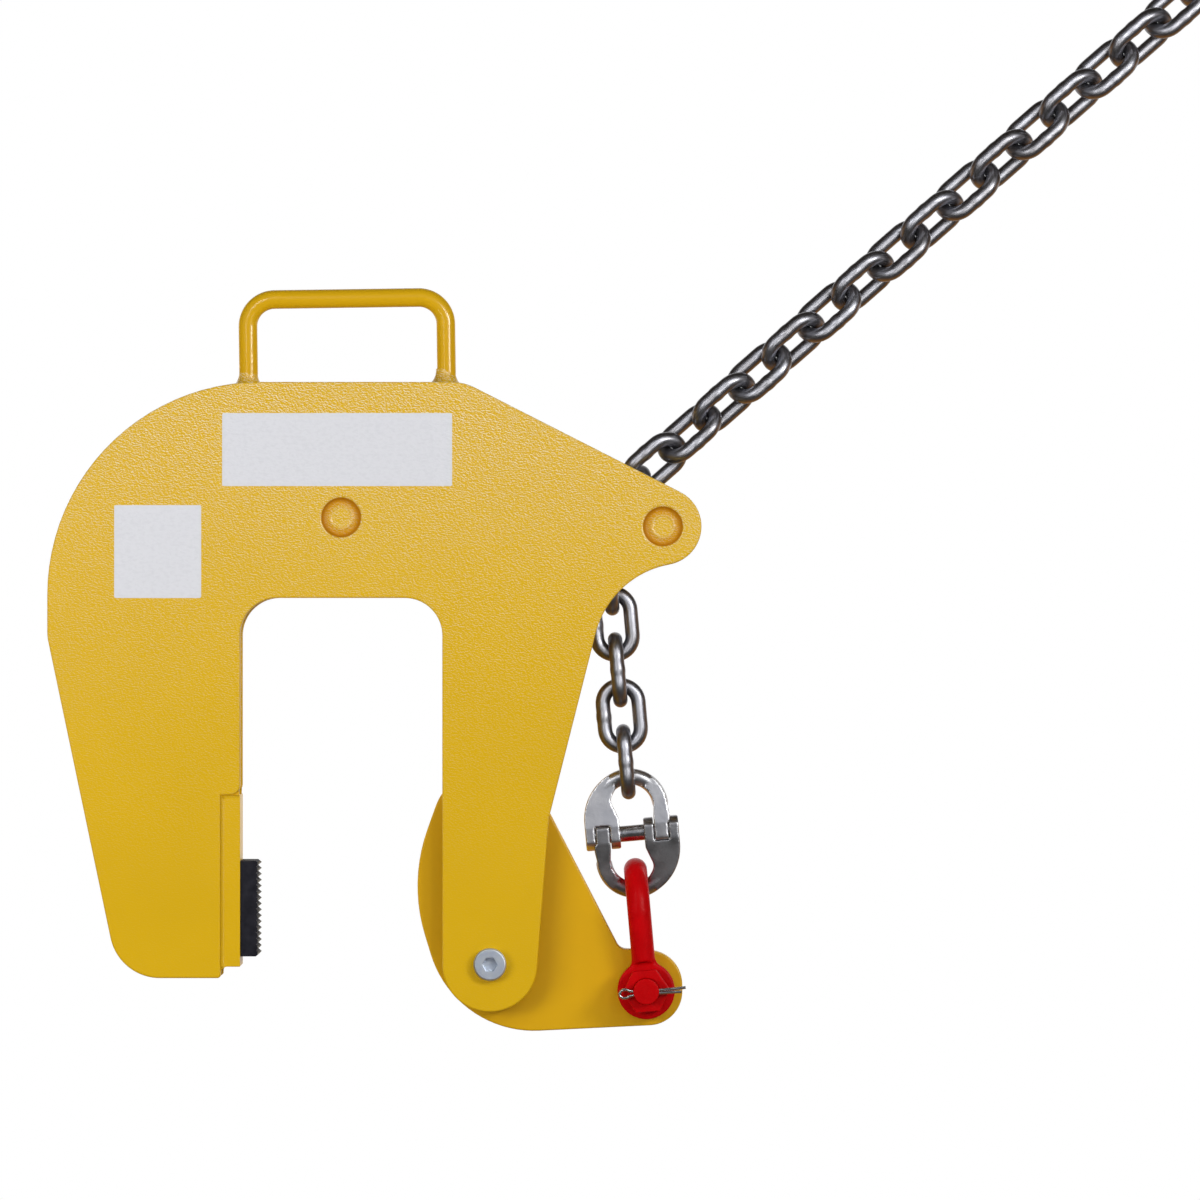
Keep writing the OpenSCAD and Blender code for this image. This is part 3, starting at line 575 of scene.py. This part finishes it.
red, nt, shader = new_material("red_paint", (0.48, 0.0006, 0.0020), 0.34)
shader.inputs["Specular IOR Level"].default_value = 0.09
vary(nt, shader.inputs["Base Color"], 60, 4,
     [(0.35, (0.49, 0.0006, 0.0020)), (0.65, (0.57, 0.0009, 0.0030))])
bump(nt, shader, grain(nt, 120, 3, 0.5, 0.4), 0.5, 0.0012)
bump(nt, shader, grain(nt, 420, 2), 0.3, 0.0005)
forged_skin("shackle_bow", "shackle_bow_forged", red, 0.0009, 14)
forged_skin("shackle_bolt", "shackle_bolt_painted", red, 0.0007, 4)
forged_skin("shackle_nut", "shackle_nut_painted", red, 0.0006, 7)

# Cotter: bright wire folded on itself and pushed through the bolt, with an
# eye at the fold and two legs of uneven length.
bright, nt, shader = new_material("bright_wire", (0.66, 0.66, 0.67), 0.24, 1.0)
vary(nt, shader.inputs["Roughness"], 160, 2, [(0.3, 0.18), (0.7, 0.32)])
bump(nt, shader, grain(nt, 400, 2), 0.08, 0.0002)


def swept(name, path, radii, mat, body, ring=16, closed=False):
    """A round bar along a path of points, with its own radius at each point."""
    n = len(path)
    pts = [Vector(p) for p in path]
    bm = bmesh.new()
    rows = []
    turns = [2 * pi * k / ring for k in range(ring)]
    side = None
    for i, p in enumerate(pts):
        q = pts[(i + 1) % n] if closed or i < n - 1 else p
        o = pts[i - 1] if closed or i > 0 else p
        t = (q - o).normalized()
        if side is None:
            side = t.orthogonal().normalized()
        side = (side - t * side.dot(t)).normalized()
        up = t.cross(side)
        rows.append([bm.verts.new(p + radii[i] * (side * cos(a) + up * sin(a))) for a in turns])
    twist = 0
    if closed:
        ends = [(v.co - rows[0][0].co).length for v in rows[-1]]
        twist = ends.index(min(ends))
    for i in range(n if closed else n - 1):
        a, b = rows[i], rows[(i + 1) % n]
        s = twist if closed and i == n - 1 else 0
        for k in range(ring):
            bm.faces.new((a[(k + s) % ring], a[(k + 1 + s) % ring], b[(k + 1) % ring], b[k]))
    if not closed:
        bm.faces.new(rows[0][::-1])
        bm.faces.new(rows[-1])
    bmesh.ops.recalc_face_normals(bm, faces=bm.faces)
    mesh = mesh_from(bm, name)
    soften(mesh, 50)
    return add_piece(name, mesh, mat, body)


low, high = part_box("shackle_cotter")
mid_y, mid_z = (low[1] + high[1]) / 2, (low[2] + high[2]) / 2
left, right = low[0], high[0]
tilt = 0.07
wire_r = 0.00125
eye_x, eye_long, eye_high = left + 0.0058, 0.0046, 0.0036
turns = [radians(d) for d in range(-140, 141, 14)]
eye = [(eye_x - eye_long * cos(a), eye_high * sin(a)) for a in turns]
upper_leg = [(left + 0.0150, 0.0012), (left + 0.0260, 0.0013),
             (right - 0.0080, 0.0014), (right - 0.0006, 0.0019)]
lower_leg = [(left + 0.0150, -0.0012), (left + 0.0260, -0.0013),
             (right - 0.0120, -0.0013), (right - 0.0040, -0.0016)]
route = lower_leg[::-1] + eye + upper_leg
path = [(x, mid_y, mid_z + tilt * (x - (left + right) / 2) + z) for x, z in route]
cotter = swept("cotter_wire", path, [wire_r] * len(path), bright, "shackle", 12)
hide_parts("shackle_cotter")

# Coupling links: two drop-forged halves each, shot-blasted bright, held by a
# ground load pin. They sit between the chain and the shackle, and between
# the chain and the master link. The half away from the chain takes a darker
# copy of the same steel, as painted shade.


def forging(name, low, high):
    """Shot-blasted steel whose greys run from low to high, a little blue."""
    blue = 1.02
    mat, nt, shader = new_material(name, (high, high, high), 0.34, 1.0)
    vary(nt, shader.inputs["Roughness"], 75, 4, [(0.3, 0.28), (0.7, 0.40)])
    vary(nt, shader.inputs["Base Color"], 35, 3,
         [(0.3, (low, low, low * blue)), (0.7, (high, high, high * blue))])
    bump(nt, shader, grain(nt, 380, 3), 0.22, 0.0004)
    return mat


forged = forging("forged_steel", 0.74, 0.88)
# A darker copy of the same steel: painted shade for the halves away from the chain.
forged_painted_shade = forging("forged_steel_painted_shade", 0.45, 0.58)
for node in ("coupling_upper_half", "end_coupling_lower_half"):
    forged_skin(node, node + "_forged", forged, 0.0007, 7)
for node in ("coupling_lower_half", "end_coupling_upper_half"):
    forged_skin(node, node + "_forged", forged_painted_shade, 0.0007, 7)
for node in ("coupling_pin", "end_coupling_pin"):
    eased(node, node + "_ground", bright, 0.0006)

# Master link: one heavy round bar bent to an oblong and butt-welded. It is
# shot-blasted like the couplings and hangs in the end coupling.
eased("master_link", "master_link_forged", forged, 0.0002)

# Chain: links bent from round wire and butt-welded in the middle of one
# side, hardened and oiled dark. Each link is a little thicker at its weld.
dark, nt, shader = new_material("hardened_chain", (0.32, 0.32, 0.34), 0.38, 1.0)
vary(nt, shader.inputs["Base Color"], 45, 3,
     [(0.3, (0.245, 0.24, 0.25)), (0.7, (0.335, 0.34, 0.37))])
vary(nt, shader.inputs["Roughness"], 300, 3, [(0.3, 0.31), (0.7, 0.41)])
bump(nt, shader, grain(nt, 900, 2), 0.08, 0.0003)


def principal(points, start):
    """The direction in which a cloud of points spreads most."""
    v = Vector(start)
    for _ in range(40):
        v = sum((p * p.dot(v) for p in points), Vector()).normalized()
    return v


def chain_link(node):
    """The node's link as a swept bar, its sizes taken from the node's points."""
    bend_steps, side_steps = 20, 14
    weld_high, weld_half = 0.0004, 0.0042
    mesh = frame["nodes"][node].data
    low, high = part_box(node)
    centre = (Vector(low) + Vector(high)) / 2
    points = [v.co - centre for v in mesh.vertices]
    along = principal(points, (0.3, 0.2, 0.9))
    rest = [p - along * p.dot(along) for p in points]
    across = principal(rest, (0.5, 0.7, 0.1))
    flat = along.cross(across)
    half_l = max(p.dot(along) for p in points)
    half_w = max(p.dot(across) for p in points)
    wire = max(p.dot(flat) for p in points)
    bend = half_w - wire
    straight = half_l - half_w
    path, radii = [], []
    for end in (1, -1):
        for i in range(bend_steps + 1):
            a = pi * i / bend_steps
            path.append(centre + across * (bend * cos(a) * end)
                        + along * ((straight + bend * sin(a)) * end))
            radii.append(wire)
        for i in range(1, side_steps):
            t = 1 - 2 * i / side_steps
            path.append(centre - across * bend * end + along * straight * t * end)
            swell = weld_high * max(0.0, 1 - (t * straight / weld_half) ** 2)
            radii.append(wire + (swell if end == 1 else 0.0))
    link = swept(node + "_wire", path, radii, dark, body_of(node), 22, True)
    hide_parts(node)


for node in sorted(frame["nodes"]):
    if node.startswith(("hanging_link", "upper_link")):
        chain_link(node)

# Labels: two pale vinyl stickers on the front plate, left blank. The film
# is thin enough to take up the pebble of the paint under it.
vinyl, nt, shader = new_material("pale_vinyl", (0.60, 0.61, 0.65), 0.35)
cloud = grain(nt, 240, 2, 0.5, 0.4, (1, 1, 1.6))
feed(nt, shader.inputs["Base Color"],
     ramp(nt, cloud, [(0.32, (0.69, 0.70, 0.745)), (0.55, (0.725, 0.735, 0.78))]))
bump(nt, shader, grain(nt, 300, 2, 0.55, 0.6, (1, 1, 1.7)), 0.35, 0.0008)


def sticker(name, x0, x1, z0, z1):
    """A sheet of film with rounded corners, stuck on the front plate."""
    round_r, film = 0.0015, 0.00018
    outline = []
    for cx, cz, start in ((x1 - round_r, z0 + round_r, -90), (x1 - round_r, z1 - round_r, 0),
                          (x0 + round_r, z1 - round_r, 90), (x0 + round_r, z0 + round_r, 180)):
        turns = [radians(start + 15 * k) for k in range(7)]
        outline += [(cx + round_r * cos(a), cz + round_r * sin(a)) for a in turns]
    slab(name, outline, plate_face, plate_face - film, vinyl)


sticker("label_wide", -0.1012, 0.0944, 0.0952, 0.1573)
sticker("label_small", -0.193, -0.119, 0.0, 0.079)

# Camera: a long lens far away, square to the front plate, so that the
# picture shows next to no perspective.
camera = bpy.data.cameras.new("camera")
camera.lens = 300
camera.sensor_width = 36
camera.clip_end = 60
view = bpy.data.objects.new("camera", camera)
view.location = (0.22015, -8.54, -0.0017)
view.rotation_euler = (radians(90), 0, 0)
bpy.context.scene.collection.objects.link(view)
bpy.context.scene.camera = view

# Studio: two small panels above and in front lay the sheen on the top of the
# plates. A key light stands at the upper right, a low fill at the left and a
# tall strip on each side. Two lights behind the part light its back.


def softbox(name, at, target, size, power, mirrored=True):
    """A soft rectangular light, out of the camera's sight, facing a target."""
    light = bpy.data.lights.new(name, "AREA")
    light.shape = "RECTANGLE"
    light.size, light.size_y = size
    light.energy = power
    obj = bpy.data.objects.new(name, light)
    obj.location = at
    obj.rotation_euler = (Vector(target) - Vector(at)).to_track_quat("-Z", "Y").to_euler()
    obj.visible_camera = False
    obj.visible_glossy = mirrored
    bpy.context.scene.collection.objects.link(obj)
    return obj


softbox("panel_left", (-0.36, -1.30, 0.66), (0.0, 0, 0.14), (0.30, 0.28), 1.7)
softbox("panel_right", (0.74, -1.30, 0.66), (0.15, 0, 0.14), (0.42, 0.28), 2.4)
softbox("key", (1.9, -1.9, 0.6), (0.1, 0, -0.05), (0.7, 0.7), 24)
softbox("fill", (-1.3, -1.5, -0.1), (0.1, 0, -0.1), (0.9, 0.6), 15, False)
softbox("strip_right", (0.95, -1.9, 0.1), (0.2, 0, 0), (0.13, 1.4), 2.4)
softbox("strip_left", (-0.75, -1.9, 0.1), (0.1, 0, 0), (0.13, 1.4), 2.4)
softbox("rear_right", (1.6, 1.8, 0.5), (0.1, 0, -0.05), (0.9, 0.8), 22, False)
softbox("rear_left", (-1.5, 1.7, 0.25), (0.1, 0, -0.05), (0.9, 0.8), 17, False)

# Chain strips: four lights that reach only the chain, two along each of its
# runs, so that a pale band lies down the middle of every wire.
chain_only = bpy.data.collections.new("chain_links")
bpy.context.scene.collection.children.link(chain_only)
for obj in list(bpy.context.scene.objects):
    if obj.type == "MESH" and obj.data.materials and obj.data.materials[0] == dark:
        chain_only.objects.link(obj)
along = Vector((0.752, 0, 0.659))
upward = Vector((-0.659, 0, 0.752))
forward = Vector((0, -1, 0))
beside, in_front = 0.42, -1.5
strips = []
for side in (-1, 1):
    at = Vector((0.60, in_front, 0.40)) + upward * beside * side
    run = softbox("chain_strip_%d" % (side + 1), at, at - forward, (2.2, 0.34), 6.5)
    run.rotation_euler = Matrix((along, along.cross(forward) * -1, forward)).transposed().to_euler()
    hang = softbox("drop_strip_%d" % (side + 1), (0.24 + beside * side, in_front, -0.05),
                   (0.24, 0, -0.05), (0.30, 1.2), 1.6)
    strips += [run, hang]
for obj in strips:
    obj.light_linking.receiver_collection = chain_only

# Floor: paper that the camera sees as plain white. Metal mirrors a painted
# reflection in it, a glow with no lamp behind it: dark in front of the part,
# orange under and behind it and pale further back.
drop, to_side, to_front, to_back = 0.06, 9, 12, 9
floor_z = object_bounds()[0][2] - drop
bm = bmesh.new()
for x, y in ((-to_side, -to_front), (to_side, -to_front), (to_side, to_back), (-to_side, to_back)):
    bm.verts.new((x, y, floor_z))
bm.faces.new(bm.verts)
mesh = mesh_from(bm, "floor")
floor = bpy.data.objects.new("floor", mesh)
bpy.context.scene.collection.objects.link(floor)


def choose(nt, fac, a, b):
    """Light from a where fac is 0 and from b where it is 1."""
    m = nt.nodes.new("ShaderNodeMixShader")
    nt.links.new(fac, m.inputs["Fac"])
    nt.links.new(a, m.inputs[1])
    nt.links.new(b, m.inputs[2])
    return m.outputs["Shader"]


def glow(nt, color):
    """Light of this color that needs no lamp on it."""
    e = nt.nodes.new("ShaderNodeEmission")
    feed(nt, e.inputs["Color"], color)
    return e.outputs["Emission"]


paper, nt, shader = new_material("white_paper", (0.42, 0.38, 0.33), 0.9)
ray = nt.nodes.new("ShaderNodeLightPath").outputs
depth = nt.nodes.new("ShaderNodeSeparateXYZ")
nt.links.new(place(nt), depth.inputs[0])
away = calc(nt, "ADD", calc(nt, "MULTIPLY", depth.outputs["Y"], 0.25), 0.25)
# Painted reflection: the glow that metal sees in the floor.
painted_reflection = ramp(nt, away, [(0.19, (0.05, 0.048, 0.046)), (0.34, (0.50, 0.22, 0.045)),
                           (0.46, (0.50, 0.24, 0.07)), (0.80, (0.85, 0.85, 0.85))])
shown = choose(nt, ray["Is Glossy Ray"], shader.outputs["BSDF"], glow(nt, painted_reflection))
through = calc(nt, "MAXIMUM", ray["Is Camera Ray"], ray["Is Transmission Ray"])
shown = choose(nt, through, shown, glow(nt, (1, 1, 1)))
nt.links.new(shown, nt.nodes["Material Output"].inputs["Surface"])
mesh.materials.append(paper)

# Surroundings: plain white to the camera, and a weak, even light on matt
# surfaces. Metal shows a grey wall in front, white straight behind, and
# between them a room that is orange low down and dark above.
world = bpy.data.worlds.new("studio")
bpy.context.scene.world = world
world.use_nodes = True
nt = world.node_tree
nt.nodes.clear()


def background(color, strength):
    b = nt.nodes.new("ShaderNodeBackground")
    b.inputs["Strength"].default_value = strength
    feed(nt, b.inputs["Color"], color)
    return b.outputs["Background"]


def span(value, low, high):
    """Goes softly from 0 to 1 as the value goes from low to high."""
    m = nt.nodes.new("ShaderNodeMapRange")
    m.interpolation_type = "SMOOTHSTEP"
    m.inputs["From Min"].default_value = low
    m.inputs["From Max"].default_value = high
    nt.links.new(value, m.inputs["Value"])
    return m.outputs[0]


way = nt.nodes.new("ShaderNodeSeparateXYZ")
nt.links.new(nt.nodes.new("ShaderNodeTexCoord").outputs["Generated"], way.inputs[0])
height = span(way.outputs["Z"], -0.9, 0.9)
wall = ramp(nt, height, [(0.0, (0.03, 0.022, 0.015)), (0.43, (0.045, 0.046, 0.052)),
                         (0.50, (0.09, 0.093, 0.104)), (0.62, (0.27, 0.285, 0.33)),
                         (0.78, (0.23, 0.24, 0.275)), (1.0, (0.05, 0.04, 0.03))])
room = ramp(nt, height, [(0.0, (0.62, 0.28, 0.06)), (0.45, (0.55, 0.24, 0.05)),
                         (0.60, (0.07, 0.04, 0.015)), (1.0, (0.03, 0.02, 0.012))])
mirrored = mix(nt, span(way.outputs["Y"], -0.70, 0.05), wall, room)
mirrored = mix(nt, span(way.outputs["Y"], 0.55, 0.95), mirrored, (1.0, 1.0, 1.0))
ray = nt.nodes.new("ShaderNodeLightPath").outputs
even = background((0.95, 0.97, 1.0), 0.24)
shown = choose(nt, ray["Is Glossy Ray"], even, background(mirrored, 1.0))
through = calc(nt, "MAXIMUM", ray["Is Camera Ray"], ray["Is Transmission Ray"])
shown = choose(nt, through, shown, background((1, 1, 1), 1.0))
nt.links.new(shown, nt.nodes.new("ShaderNodeOutputWorld").inputs["Surface"])

bpy.context.scene.view_settings.view_transform = "Standard"
